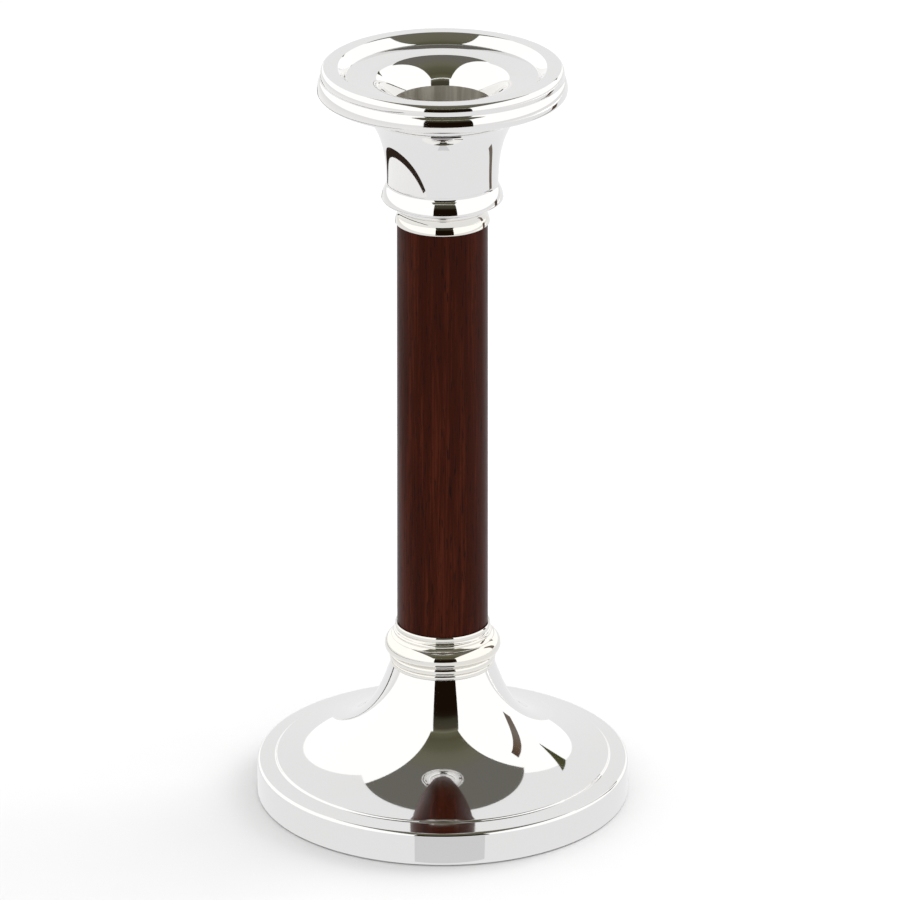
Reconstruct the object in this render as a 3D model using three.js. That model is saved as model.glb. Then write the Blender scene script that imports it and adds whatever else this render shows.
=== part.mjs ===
// Table candlestick: a weighted, silver-plated foot and a silver-plated candle cup, joined by a
// turned wooden column on one central tie rod. The drip pan and its candle socket lift out of
// the cup. Millimetres, +Z up, origin on the resting plane under the centre of the foot.
import * as THREE from 'three';

// Driving dimensions ------------------------------------------------------------------------
// A point is [radius, height]. A curve is [start, start pull, end pull, end].
// A bead is part of an ellipse: its centre, half-widths across and up, and its end angles.
const FINE = 36;                 // facets round a piece that shows
const MEDIUM = 40;               // facets round a wide hidden piece
const COARSE = 20;               // facets round a small hidden piece
const FIT = 0.2;                 // radial slip between coaxial pieces

// Foot
const FOOT_RADIUS = 45.3;        // outside of the foot's wall
const FOOT_PLATE = 1.2;          // wall of the spun foot
const FOOT_CLEARANCE = 0.4;      // the felt holds the wall this far off the table
const FOOT_BAND_TOP = 8.5;       // outer edge of the sloping band
const FOOT_BAND_INNER = 9.3;     // the band's height at the raised line
const FOOT_CORNER = 0.9;         // rounding between the wall and the band
const FOOT_BAND_SLOPE = 12;      // degrees
const STEP_RADIUS = 40.7;        // raised line between the band and the bell
const STEP_TOP = 9.72;
const STEP_ROUNDING = 0.1;
const NECK_RADIUS = 12.6;        // top of the bell
const NECK_TOP = 34.0;
const BELL = [[39.6, 9.86], [20.0, 14.7], [16.75, 21.85], [NECK_RADIUS, NECK_TOP]];
const FELT_RADIUS = 43.2;
const FELT_TOP = 1.2;
const DISC_RADIUS = 43.8;
const DISC_TOP = 2.0;
const BALLAST_GAP = 0.5;         // poured weight shrinks this far off the spun wall
const BALLAST_TOP = 13.0;
const BALLAST_SHOULDER = 22.0;
const COUNTERBORE_RADIUS = 8.6;  // pocket for the lower nut, in the ballast
const COUNTERBORE_TOP = 9.0;

// Tie rod, nuts and washers
const ROD_RADIUS = 2.5;
const ROD_HOLE = 2.9;
const ROD_FOOT = 2.3;
const ROD_HEAD = 158.8;
const ROD_CHAMFER = 0.5;
const THREAD_GAP = 0.05;
const NUT_WIDTH = 8.0;           // across the flats
const NUT_HEIGHT = 4.0;
const THIN_NUT_HEIGHT = 2.7;
const WASHER_RADIUS = 7.5;
const WASHER_HEIGHT = 1.0;
const SPRING_WASHER_RADIUS = 4.4;
const SPRING_WASHER_HEIGHT = 1.2;
const SPRING_WASHER_GAP = 14;    // degrees left open

// Lower collar
const COLLAR_FOOT_RING = [[NECK_RADIUS, NECK_TOP], [12.75, 34.15], [12.8, 34.8], [12.6, 35.1]];
const COLLAR_LOWER_BEAD = { centre: [12.3, 36.1], across: 0.65, up: 1.05, from: -60, to: 75, steps: 4 };
const COLLAR_TORUS_UNDER = { centre: [11.65, 38.8], across: 2.4, up: 2.1, from: -60, to: 0, steps: 4 };
const COLLAR_TORUS_OVER = { centre: [11.65, 38.8], across: 2.4, up: 2.6, from: 15, to: 75, steps: 4 };
const COLLAR_UPPER_BEAD = { centre: [11.5, 42.35], across: 0.45, up: 0.5, from: -60, to: 80, steps: 3 };
const COLLAR_COVE = [[11.55, 42.95], [11.25, 43.1], [11.2, 43.4], [11.42, 43.6]];
const COLLAR_LIP = 11.52;        // thin lip round the wood
const COLLAR_LIP_EDGE = 11.35;
const COLLAR_TOP = 44.7;
const COLLAR_SEAT = 43.5;        // the fibre washer lies here
const COLLAR_SOCKET = 11.15;

// Wooden column and its bushes
const COLUMN_FOOT = 44.0;
const COLUMN_HEAD = 147.8;
const COLUMN_FOOT_RADIUS = 11.0; // the column thins a little upwards
const COLUMN_HEAD_RADIUS = 10.8;
const BUSH_RADIUS = 5.2;
const BUSH_IN_WOOD = 8.0;        // how far each bush enters the wood
const BUSH_IN_COLLAR = 5.0;
const BUSH_IN_FERRULE = 2.4;

// Ferrule and knop
const FERRULE_EDGE = 10.95;
const FERRULE_BAND = { centre: [6.4, 147.53], across: 4.9, up: 4.9, from: 5, to: 26.9, steps: 3 };
const FERRULE_COVE = [[10.78, 150.2], [10.74, 151.1], [11.05, 151.7], [11.55, 152.0]];
const FERRULE_TOP = 152.0;
const KNOP_COVE = [[11.55, FERRULE_TOP], [11.8, 152.55], [12.1, 153.0], [12.6, 153.2]];
const KNOP_UNDER_EDGE = [[13.85, 153.5], [14.2, 153.58], [14.46, 153.75], [14.49, 154.05]];
const KNOP_BAND = { centre: [6.6, 152.9], across: 8.0, up: 8.0, from: 9, to: 33, steps: 4 };
const KNOP_FILLET = [[13.29, 157.3], [13.1, 157.6], [13.1, 157.95], [13.3, 158.3]];
const KNOP_TOP = 158.3;

// Candle cup
const SPIGOT_FOOT = 153.7;       // the cup's foot, inside the knop
const SPIGOT_RADIUS = 11.9;
const SPIGOT_FLOOR = 1.2;
const CUP_WALL = 1.0;
const CUP_FLARE = [[13.3, KNOP_TOP], [13.35, 166.3], [15.2, 171.6], [18.1, 174.9]];
const CUP_THROAT = 158.9;        // where the flared bore starts
const CUP_RIM = 18.05;
const CUP_RIM_INNER = 17.0;
const CUP_TOP = 175.3;

// Candle socket
const SOCKET_FOOT = 159.2;
const SOCKET_FLOOR = 160.2;
const SOCKET_TOP = 177.6;
const SOCKET_RADIUS = 11.25;     // half of a 22.5 mm seat for a 22 mm candle
const SOCKET_MOUTH = 11.75;      // the bore widens upwards
const SOCKET_WALL = 0.85;
const SOCKET_CHAMFER = 0.4;
const SEAT_RADIUS = 9.8;         // flat floor inside the socket's corner fillet

// Drip pan
const PAN_WALL = 1.1;
const PAN_MOUTH = 11.8;
const PAN_MOUTH_OUTER = 12.95;
const PAN_THROAT = [[17.7, 183.69], [15.4, 183.48], [13.35, 181.15], [PAN_MOUTH, SOCKET_TOP]];
const PAN_UNDER_THROAT = 182.25;
const SKIRT_INNER = 16.6;
const SKIRT_OUTER = 17.7;
const PAN_UNDERSIDE = [[SKIRT_OUTER, 181.9], [18.3, 182.5], [23.4, 182.7], [24.8, 181.8], [26.6, 180.3]];
const RIM_UNDER = { centre: [28.3, 180.9], across: 1.3, up: 1.1, from: -95, to: 0, steps: 4 };
const RIM_OVER = { centre: [28.3, 180.9], across: 1.3, up: 3.0, from: 16, to: 63.5, steps: 3 };
const RIM_GROOVE = [28.67, 184.0];
const LIP_BEAD = { centre: [27.7, 184.8], across: 1.1, up: 1.7, from: -20, to: 90, steps: 5 };
const LIP_INNER = [24.9, 186.5];
const DISH_WALL = [[24.65, 186.38], [24.06, 185.83], [23.1, 184.9], [22.75, 184.3]];
const DISH_FLOOR_EDGE = [22.3, 184.12];

// Finishes ----------------------------------------------------------------------------------
function finish(color, roughness, metalness) {
  return new THREE.MeshStandardMaterial({ color, roughness, metalness });
}

const silver = finish(0xe6e6e8, 0.05, 1);
const satinSilver = finish(0xa9a498, 0.4, 1);
const mahogany = finish(0x3b120c, 0.35, 0);
const zincSteel = finish(0x9a9c9e, 0.4, 1);
const castIron = finish(0x3c3d3f, 0.7, 0.6);
const brass = finish(0xb58f45, 0.35, 1);
const fibre = finish(0x6d3a22, 0.8, 0);
const felt = finish(0x1f3a2a, 0.95, 0);

const candlestick = new THREE.Group();
const stand = new THREE.Group();
const nozzle = new THREE.Group();
candlestick.add(stand, nozzle);

// Outline helpers ---------------------------------------------------------------------------
const radians = THREE.MathUtils.degToRad;

function arc({ centre, across, up, from, to, steps }) {
  const points = [];
  for (let i = 0; i <= steps; i += 1) {
    const angle = radians(from + (to - from) * i / steps);
    points.push([centre[0] + across * Math.cos(angle), centre[1] + up * Math.sin(angle)]);
  }
  return points;
}

function sweep(curve, steps) {
  const ends = curve.map(([r, z]) => new THREE.Vector2(r, z));
  return new THREE.CubicBezierCurve(...ends).getPoints(steps).map((point) => [point.x, point.y]);
}

// Moves an open run of points sideways, to the left of its direction of travel.
function offset(points, distance) {
  return points.map(([r, z], i) => {
    const before = points[Math.max(i - 1, 0)];
    const after = points[Math.min(i + 1, points.length - 1)];
    const across = new THREE.Vector2(before[1] - after[1], after[0] - before[0]).setLength(distance);
    return [r + across.x, z + across.y];
  });
}

const ring = (inner, outer, foot, top) => [[inner, foot], [outer, foot], [outer, top], [inner, top]];
const round = (radius, foot, top) => [[0, foot], [radius, foot], [radius, top], [0, top]];

// Adds one solid of revolution. A section runs anticlockwise in (radius, height) and closes on
// itself, or starts and ends on the axis.
function turn(group, name, section, facets, material) {
  const onAxis = section[0][0] === 0;
  const loop = onAxis ? section : [...section, section[0]];
  const geometry = new THREE.LatheGeometry(loop.map(([r, z]) => new THREE.Vector2(r, z)), facets);
  geometry.rotateX(Math.PI / 2);
  addMesh(group, name, geometry, material);
}

function addMesh(group, name, geometry, material) {
  const mesh = new THREE.Mesh(geometry, material);
  mesh.name = name;
  group.add(mesh);
  return mesh;
}

// Foot --------------------------------------------------------------------------------------
function addBaseShell() {
  const corner = {
    centre: [FOOT_RADIUS - FOOT_CORNER, FOOT_BAND_TOP - FOOT_CORNER],
    across: FOOT_CORNER,
    up: FOOT_CORNER,
    from: 0,
    to: 90 - FOOT_BAND_SLOPE,
    steps: 4,
  };
  const outside = [
    [FOOT_RADIUS, FOOT_CLEARANCE],
    ...arc(corner),
    [STEP_RADIUS, FOOT_BAND_INNER],
    [STEP_RADIUS - STEP_ROUNDING, STEP_TOP - STEP_ROUNDING],
    [STEP_RADIUS - 5 * STEP_ROUNDING, STEP_TOP],
    ...sweep(BELL, 14),
  ];
  const inside = offset(outside, FOOT_PLATE).reverse();
  inside[inside.length - 1] = [FOOT_RADIUS - FOOT_PLATE, FOOT_CLEARANCE];
  inside[0] = [NECK_RADIUS - FOOT_PLATE, NECK_TOP - FOOT_PLATE];
  const crown = [[ROD_HOLE, NECK_TOP], [ROD_HOLE, NECK_TOP - FOOT_PLATE]];
  turn(stand, 'base_shell', [...outside, ...crown, ...inside], FINE, silver);
}

function addFootFilling() {
  turn(stand, 'felt_pad', round(FELT_RADIUS, 0, FELT_TOP), FINE, felt);
  turn(stand, 'bottom_disc', round(DISC_RADIUS, FELT_TOP, DISC_TOP), FINE, zincSteel);
  const outer = FOOT_RADIUS - FOOT_PLATE - BALLAST_GAP;
  const underBand = FOOT_BAND_TOP - FOOT_PLATE - BALLAST_GAP;
  const ballast = [
    [COUNTERBORE_RADIUS, DISC_TOP],
    [outer, DISC_TOP],
    [outer, underBand - BALLAST_GAP],
    [STEP_RADIUS, underBand],
    [STEP_RADIUS - 4, STEP_TOP - FOOT_PLATE - BALLAST_GAP],
    [BALLAST_SHOULDER, BALLAST_TOP],
    [ROD_HOLE, BALLAST_TOP],
    [ROD_HOLE, COUNTERBORE_TOP],
    [COUNTERBORE_RADIUS, COUNTERBORE_TOP],
  ];
  turn(stand, 'ballast_weight', ballast, MEDIUM, castIron);
}

// Fasteners on the tie rod ------------------------------------------------------------------
function hexNut(acrossFlats, holeRadius) {
  const shape = new THREE.Shape();
  const centre = new THREE.Vector2();
  for (let i = 0; i < 6; i += 1) {
    const corner = new THREE.Vector2(acrossFlats / Math.sqrt(3), 0).rotateAround(centre, radians(60 * i));
    if (i === 0) {
      shape.moveTo(corner.x, corner.y);
    } else {
      shape.lineTo(corner.x, corner.y);
    }
  }
  shape.closePath();
  shape.holes.push(new THREE.Path().absarc(0, 0, holeRadius, 0, 2 * Math.PI, true));
  return shape;
}

function splitRing(inner, outer, gapDegrees) {
  const half = radians(gapDegrees / 2);
  const shape = new THREE.Shape();
  shape.absarc(0, 0, outer, half, 2 * Math.PI - half, false);
  shape.absarc(0, 0, inner, 2 * Math.PI - half, half, true);
  shape.closePath();
  return shape;
}

function addFlatPiece(name, shape, foot, height) {
  const settings = { depth: height, bevelEnabled: false, curveSegments: 12 };
  const geometry = new THREE.ExtrudeGeometry(shape, settings);
  addMesh(stand, name, geometry, zincSteel).position.z = foot;
}

function addTieRod() {
  const section = [
    [0, ROD_FOOT],
    [ROD_RADIUS - ROD_CHAMFER, ROD_FOOT],
    [ROD_RADIUS, ROD_FOOT + ROD_CHAMFER],
    [ROD_RADIUS, ROD_HEAD - ROD_CHAMFER],
    [ROD_RADIUS - ROD_CHAMFER, ROD_HEAD],
    [0, ROD_HEAD],
  ];
  turn(stand, 'tie_rod', section, COARSE, zincSteel);
}

function addFasteners() {
  const thread = ROD_RADIUS + THREAD_GAP;
  const washerFoot = COUNTERBORE_TOP - WASHER_HEIGHT;
  const springFoot = washerFoot - SPRING_WASHER_HEIGHT;
  const spring = splitRing(ROD_HOLE, SPRING_WASHER_RADIUS, SPRING_WASHER_GAP);
  const baseWasher = ring(ROD_HOLE, WASHER_RADIUS, washerFoot, COUNTERBORE_TOP);
  turn(stand, 'base_washer', baseWasher, COARSE, zincSteel);
  addFlatPiece('base_spring_washer', spring, springFoot, SPRING_WASHER_HEIGHT);
  addFlatPiece('base_nut', hexNut(NUT_WIDTH, thread), springFoot - NUT_HEIGHT, NUT_HEIGHT);
  const cupFloor = SPIGOT_FOOT + SPIGOT_FLOOR;
  const nutFoot = cupFloor + WASHER_HEIGHT;
  turn(stand, 'cup_washer', ring(ROD_HOLE, WASHER_RADIUS, cupFloor, nutFoot), COARSE, zincSteel);
  addFlatPiece('cup_nut', hexNut(NUT_WIDTH, thread), nutFoot, THIN_NUT_HEIGHT);
}

// Column ------------------------------------------------------------------------------------
function addLowerCollar() {
  const bushFoot = COLLAR_SEAT - BUSH_IN_COLLAR;
  const section = [
    [ROD_HOLE, NECK_TOP],
    ...sweep(COLLAR_FOOT_RING, 3),
    ...arc(COLLAR_LOWER_BEAD),
    ...arc(COLLAR_TORUS_UNDER),
    ...arc(COLLAR_TORUS_OVER),
    ...arc(COLLAR_UPPER_BEAD),
    ...sweep(COLLAR_COVE, 3),
    [COLLAR_LIP, COLLAR_TOP - 0.35],
    [COLLAR_LIP_EDGE, COLLAR_TOP],
    [COLLAR_SOCKET, COLLAR_TOP],
    [COLLAR_SOCKET, COLLAR_SEAT],
    [BUSH_RADIUS + FIT, COLLAR_SEAT],
    [BUSH_RADIUS + FIT, bushFoot],
    [ROD_HOLE, bushFoot],
  ];
  turn(stand, 'lower_collar', section, FINE, silver);
  const bush = ring(ROD_HOLE, BUSH_RADIUS, bushFoot, COLUMN_FOOT + BUSH_IN_WOOD);
  turn(stand, 'lower_bush', bush, COARSE, brass);
  const washer = ring(BUSH_RADIUS + FIT, COLUMN_HEAD_RADIUS, COLLAR_SEAT, COLUMN_FOOT);
  turn(stand, 'lower_fibre_washer', washer, MEDIUM, fibre);
}

function addWoodColumn() {
  const bore = ROD_HOLE + FIT;
  const pocket = BUSH_RADIUS + FIT;
  const pocketDepth = BUSH_IN_WOOD + FIT;
  const section = [
    [pocket, COLUMN_FOOT],
    [COLUMN_FOOT_RADIUS, COLUMN_FOOT],
    [COLUMN_HEAD_RADIUS, COLUMN_HEAD],
    [pocket, COLUMN_HEAD],
    [pocket, COLUMN_HEAD - pocketDepth],
    [bore, COLUMN_HEAD - pocketDepth],
    [bore, COLUMN_FOOT + pocketDepth],
    [pocket, COLUMN_FOOT + pocketDepth],
  ];
  turn(stand, 'wood_column', section, FINE, mahogany);
}

function addUpperFerrule() {
  const pocketTop = COLUMN_HEAD + BUSH_IN_FERRULE + FIT;
  const section = [
    [BUSH_RADIUS + FIT, COLUMN_HEAD],
    [FERRULE_EDGE, COLUMN_HEAD],
    ...arc(FERRULE_BAND),
    ...sweep(FERRULE_COVE, 4),
    [ROD_HOLE, FERRULE_TOP],
    [ROD_HOLE, pocketTop],
    [BUSH_RADIUS + FIT, pocketTop],
  ];
  turn(stand, 'upper_ferrule', section, FINE, silver);
  const bush = ring(ROD_HOLE, BUSH_RADIUS, COLUMN_HEAD - BUSH_IN_WOOD, COLUMN_HEAD + BUSH_IN_FERRULE);
  turn(stand, 'upper_bush', bush, COARSE, brass);
}

// Candle cup --------------------------------------------------------------------------------
function addUpperKnop() {
  const bore = SPIGOT_RADIUS + FIT;
  const section = [
    [ROD_HOLE, FERRULE_TOP],
    ...sweep(KNOP_COVE, 4),
    ...sweep(KNOP_UNDER_EDGE, 3),
    ...arc(KNOP_BAND),
    ...sweep(KNOP_FILLET, 3),
    [bore, KNOP_TOP],
    [bore, SPIGOT_FOOT],
    [ROD_HOLE, SPIGOT_FOOT],
  ];
  turn(stand, 'upper_knop', section, FINE, silver);
}

function addCupBody() {
  const outside = sweep(CUP_FLARE, 10);
  const inside = offset(outside, CUP_WALL).reverse();
  inside[0] = [CUP_RIM_INNER, CUP_TOP];
  inside[inside.length - 1] = [SOCKET_RADIUS + SOCKET_WALL + FIT, CUP_THROAT];
  const section = [
    [ROD_HOLE, SPIGOT_FOOT],
    [SPIGOT_RADIUS, SPIGOT_FOOT],
    [SPIGOT_RADIUS, KNOP_TOP],
    ...outside,
    [CUP_RIM, CUP_TOP],
    ...inside,
    [SPIGOT_RADIUS - CUP_WALL, CUP_THROAT],
    [SPIGOT_RADIUS - CUP_WALL, SPIGOT_FOOT + SPIGOT_FLOOR],
    [ROD_HOLE, SPIGOT_FOOT + SPIGOT_FLOOR],
  ];
  turn(stand, 'cup_body', section, FINE, silver);
}

// Lift-out nozzle ---------------------------------------------------------------------------
function addCandleSocket() {
  const outerFoot = SOCKET_RADIUS + SOCKET_WALL;
  const fillet = SOCKET_RADIUS - SEAT_RADIUS;
  const corner = {
    centre: [SEAT_RADIUS, SOCKET_FLOOR + fillet],
    across: fillet,
    up: fillet,
    from: 0,
    to: -90,
    steps: 3,
  };
  const section = [
    [0, SOCKET_FOOT],
    [outerFoot - SOCKET_CHAMFER, SOCKET_FOOT],
    [outerFoot, SOCKET_FOOT + SOCKET_CHAMFER],
    [SOCKET_MOUTH + SOCKET_WALL, SOCKET_TOP],
    [SOCKET_MOUTH, SOCKET_TOP],
    ...arc(corner),
    [0, SOCKET_FLOOR],
  ];
  turn(nozzle, 'candle_socket', section, FINE, satinSilver);
}

function addDripPan() {
  const throat = sweep(PAN_THROAT, 8);
  const underThroat = offset(throat, PAN_WALL).reverse().slice(1).filter(([r]) => r < SKIRT_INNER - FIT);
  const section = [
    [PAN_MOUTH, SOCKET_TOP],
    [PAN_MOUTH_OUTER, SOCKET_TOP],
    ...underThroat,
    [SKIRT_INNER, PAN_UNDER_THROAT],
    [SKIRT_INNER, CUP_TOP],
    [SKIRT_OUTER, CUP_TOP],
    ...PAN_UNDERSIDE,
    ...arc(RIM_UNDER),
    ...arc(RIM_OVER),
    RIM_GROOVE,
    ...arc(LIP_BEAD),
    LIP_INNER,
    ...sweep(DISH_WALL, 4),
    DISH_FLOOR_EDGE,
    ...throat.slice(0, -1),
  ];
  turn(nozzle, 'drip_pan', section, FINE, silver);
}

addFootFilling();
addBaseShell();
addTieRod();
addFasteners();
addLowerCollar();
addWoodColumn();
addUpperFerrule();
addUpperKnop();
addCupBody();
addCandleSocket();
addDripPan();

export default candlestick;
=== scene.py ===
"""Silver-plated candlestick with a wooden column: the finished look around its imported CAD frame."""

import logging
import math
from dataclasses import dataclass, field
from enum import Enum
from typing import Any, ClassVar

import bpy
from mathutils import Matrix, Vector


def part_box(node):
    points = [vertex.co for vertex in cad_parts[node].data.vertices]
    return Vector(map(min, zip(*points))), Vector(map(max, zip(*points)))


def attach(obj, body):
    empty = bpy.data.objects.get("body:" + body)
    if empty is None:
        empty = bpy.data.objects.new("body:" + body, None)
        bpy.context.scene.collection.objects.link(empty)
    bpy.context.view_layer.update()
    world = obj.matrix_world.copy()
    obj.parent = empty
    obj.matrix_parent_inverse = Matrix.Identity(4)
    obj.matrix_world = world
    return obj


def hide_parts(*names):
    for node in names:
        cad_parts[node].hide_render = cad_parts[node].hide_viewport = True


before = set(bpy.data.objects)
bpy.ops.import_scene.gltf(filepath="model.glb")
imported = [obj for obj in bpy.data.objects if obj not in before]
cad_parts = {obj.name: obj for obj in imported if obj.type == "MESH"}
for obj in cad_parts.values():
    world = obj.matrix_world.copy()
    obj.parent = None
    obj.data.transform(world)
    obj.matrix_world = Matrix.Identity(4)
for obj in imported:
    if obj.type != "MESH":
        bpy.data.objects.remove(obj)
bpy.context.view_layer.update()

MM = 0.001
FULL_TURN = 2 * math.pi
LOG = logging.getLogger("candlestick")

Point = tuple[float, float]
Curve = tuple[Point, Point, Point, Point]
Colour = tuple[float, float, float]
Place = tuple[float, float, float]


class Body(Enum):
    """The two rigid bodies that a piece can ride on."""

    STAND = "stand"
    NOZZLE = "nozzle"


class Slot(Enum):
    """The record's material slots."""

    POLISHED_SILVER = "polished_silver"
    SATIN_SILVER = "satin_silver"
    DARK_WOOD = "dark_wood"
    ZINC_STEEL = "zinc_steel"
    CAST_IRON = "cast_iron"
    BRASS = "brass"
    FIBRE = "fibre"
    FELT = "felt"


# ---------------------------------------------------------------------------------------------
# Shader expressions
# ---------------------------------------------------------------------------------------------


class Value:
    """A number that changes over a surface: arithmetic on it adds Math nodes."""

    def __init__(self, graph: "Graph", socket: bpy.types.NodeSocket) -> None:
        """Wraps one output socket.

        Args:
            graph: The graph that the socket belongs to.
            socket: The output socket that carries the number.
        """
        self.graph = graph
        self.socket = socket

    def _math(self, operation: str, *others: Any, clamp: bool = False) -> "Value":
        """Adds one Math node.

        Args:
            operation: The Math node's operation.
            others: What fills the node's inputs, in order.
            clamp: Whether the result is held between 0 and 1.

        Returns:
            The result as a new value.
        """
        settings = {"operation": operation, "use_clamp": clamp}
        node = self.graph.node("ShaderNodeMath", settings, dict(enumerate(others)))
        return Value(self.graph, node.outputs[0])

    def __add__(self, other: Any) -> "Value":
        """self + other."""
        return self._math("ADD", self, other)

    def __radd__(self, other: Any) -> "Value":
        """other + self."""
        return self._math("ADD", other, self)

    def __sub__(self, other: Any) -> "Value":
        """self - other."""
        return self._math("SUBTRACT", self, other)

    def __rsub__(self, other: Any) -> "Value":
        """other - self."""
        return self._math("SUBTRACT", other, self)

    def __mul__(self, other: Any) -> "Value":
        """self * other."""
        return self._math("MULTIPLY", self, other)

    def __rmul__(self, other: Any) -> "Value":
        """other * self."""
        return self._math("MULTIPLY", other, self)

    def __truediv__(self, other: Any) -> "Value":
        """self / other."""
        return self._math("DIVIDE", self, other)

    def root(self) -> "Value":
        """The square root."""
        return self._math("SQRT", self)

    def held(self) -> "Value":
        """The value held between 0 and 1."""
        return self._math("ADD", self, 0.0, clamp=True)

    def angle_from(self, across: "Value") -> "Value":
        """The angle whose tangent is self over across, in radians."""
        return self._math("ARCTAN2", self, across)

    def step(self, low: float, high: float) -> "Value":
        """Rises smoothly from 0 at low to 1 at high.

        Args:
            low: Where the rise starts.
            high: Where the rise ends.

        Returns:
            The smooth step.
        """
        node = self.graph.node(
            "ShaderNodeMapRange",
            {"interpolation_type": "SMOOTHSTEP", "clamp": True},
            {"Value": self, "From Min": low, "From Max": high},
        )
        return Value(self.graph, node.outputs["Result"])


class Graph:
    """One material's node tree, built from Python expressions."""

    MIX_SHARE: ClassVar[int] = 0
    MIX_COLOURS: ClassVar[tuple[int, int]] = (6, 7)
    MIX_RESULT: ClassVar[int] = 2

    def __init__(self, name: str) -> None:
        """Starts a material with an output node only.

        Args:
            name: The material's name.
        """
        self.material = bpy.data.materials.new(name)
        self.material.use_nodes = True
        self.tree = self.material.node_tree
        self.tree.nodes.clear()
        self.output = self.node("ShaderNodeOutputMaterial")

    def node(
        self,
        kind: str,
        settings: dict[str, Any] | None = None,
        inputs: dict[str | int, Any] | None = None,
    ) -> bpy.types.Node:
        """Adds a node, sets it up, then fills its sockets.

        Args:
            kind: The node's type.
            settings: Its properties; "stops" lists a colour ramp's (place, colour) pairs.
            inputs: Numbers, colours, values or sockets, by the input socket's name or number.

        Returns:
            The new node.
        """
        made = self.tree.nodes.new(kind)
        for name, setting in (settings or {}).items():
            if name == "stops":
                self._set_stops(made.color_ramp, setting)
            else:
                setattr(made, name, setting)
        for name, content in (inputs or {}).items():
            socket = made.inputs[name]
            if isinstance(content, Value):
                content = content.socket
            if isinstance(content, bpy.types.NodeSocket):
                self.tree.links.new(content, socket)
            else:
                socket.default_value = content
        return made

    @staticmethod
    def _set_stops(ramp: bpy.types.ColorRamp, stops: tuple[tuple[float, Colour], ...]) -> None:
        """Fills a colour ramp.

        Args:
            ramp: The ramp of a ColorRamp node.
            stops: The place and colour of every stop, from left to right.
        """
        while len(ramp.elements) < len(stops):
            ramp.elements.new(1.0)
        for element, (place, colour) in zip(ramp.elements, stops):
            element.position = place
            element.color = (*colour, 1.0)

    def place(self) -> bpy.types.NodeSocket:
        """The point on the piece, in metres, in the frame's own axes."""
        return self.node("ShaderNodeTexCoord").outputs["Object"]

    def split(self, vector: bpy.types.NodeSocket) -> tuple[Value, Value, Value]:
        """The three parts of a vector as values."""
        parts = self.node("ShaderNodeSeparateXYZ", inputs={"Vector": vector})
        return tuple(Value(self, socket) for socket in parts.outputs)

    def join(self, x: Any, y: Any, z: Any) -> bpy.types.NodeSocket:
        """A vector from its three parts."""
        return self.node("ShaderNodeCombineXYZ", inputs={0: x, 1: y, 2: z}).outputs[0]

    def stretched(self, vector: bpy.types.NodeSocket, scale: Colour) -> bpy.types.NodeSocket:
        """The vector with each of its parts multiplied by that part of scale."""
        inputs = {"Vector": vector, "Scale": scale}
        return self.node("ShaderNodeMapping", {"vector_type": "POINT"}, inputs).outputs[0]

    def noise(
        self,
        vector: bpy.types.NodeSocket,
        scale: float,
        detail: float = 2.0,
        roughness: float = 0.5,
        distortion: float = 0.0,
    ) -> Value:
        """Cloudy noise between 0 and 1.

        Args:
            vector: Where the noise is read.
            scale: How many clouds there are per unit of the vector.
            detail: How many finer layers lie on top.
            roughness: How strong the finer layers are.
            distortion: How far the clouds are twisted.

        Returns:
            The noise as a value.
        """
        inputs = {"Vector": vector, "Scale": scale, "Detail": detail}
        inputs |= {"Roughness": roughness, "Distortion": distortion}
        return Value(self, self.node("ShaderNodeTexNoise", inputs=inputs).outputs["Fac"])

    def spots(self, vector: bpy.types.NodeSocket, scale: float) -> Value:
        """The distance to the nearest of many scattered points, in cells."""
        inputs = {"Vector": vector, "Scale": scale}
        return Value(self, self.node("ShaderNodeTexVoronoi", inputs=inputs).outputs["Distance"])

    def mix(self, share: Any, first: Any, second: Any) -> bpy.types.NodeSocket:
        """Mixes two colours.

        Args:
            share: How much of the second colour shows, from 0 to 1.
            first: The colour at 0, as three numbers or a socket.
            second: The colour at 1, as three numbers or a socket.

        Returns:
            The mixed colour.
        """
        colours = [(*c, 1.0) if isinstance(c, tuple) else c for c in (first, second)]
        settings = {"data_type": "RGBA", "clamp_factor": True}
        inputs = {self.MIX_SHARE: share, **dict(zip(self.MIX_COLOURS, colours))}
        return self.node("ShaderNodeMix", settings, inputs).outputs[self.MIX_RESULT]

    def ramp(self, share: Value, stops: tuple[tuple[float, Colour], ...]) -> bpy.types.NodeSocket:
        """A colour that follows a value.

        Args:
            share: The value, from 0 to 1.
            stops: The place and colour of every stop, from left to right.

        Returns:
            The colour.
        """
        return self.node("ShaderNodeValToRGB", {"stops": stops}, {"Fac": share}).outputs["Color"]

    def bump(self, height: Value, strength: float, depth: float) -> bpy.types.NodeSocket:
        """A normal tilted by a height field.

        Args:
            height: The height field, from 0 to 1.
            strength: How much of the tilt is used.
            depth: The height in metres of 1.

        Returns:
            The tilted normal.
        """
        inputs = {"Height": height, "Strength": strength, "Distance": depth}
        return self.node("ShaderNodeBump", inputs=inputs).outputs["Normal"]

    def finish(self, **inputs: Any) -> bpy.types.Material:
        """Closes the graph with one Principled shader.

        Args:
            inputs: The shader's sockets, with _ in place of each space.

        Returns:
            The finished material.
        """
        named = {name.replace("_", " "): content for name, content in inputs.items()}
        shader = self.node("ShaderNodeBsdfPrincipled", inputs=named)
        self.tree.links.new(shader.outputs["BSDF"], self.output.inputs["Surface"])
        return self.material


# ---------------------------------------------------------------------------------------------
# Finishes
# ---------------------------------------------------------------------------------------------


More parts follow.
